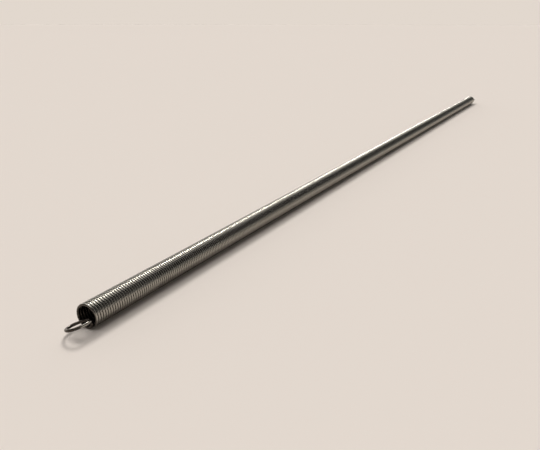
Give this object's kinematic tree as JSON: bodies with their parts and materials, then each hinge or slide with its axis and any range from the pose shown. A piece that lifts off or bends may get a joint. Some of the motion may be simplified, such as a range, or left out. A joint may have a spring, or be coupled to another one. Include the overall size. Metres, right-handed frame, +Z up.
{
  "type": "extension spring",
  "caption": "Long close-wound extension spring of bright round wire, with a full loop bent up at each end by which it is hooked between two anchors.",
  "frame": {"origin": "on the surface that the spring lies on, below the middle of its coil", "axes": "+X along the coil's axis towards one end loop, +Y across, +Z up"},
  "size_m": [0.7148, 0.0103, 0.01],
  "materials": {
    "wire": "bright drawn"
  },
  "bodies": {
    "root": {"spring": "wire"}
  },
  "joints": []
}
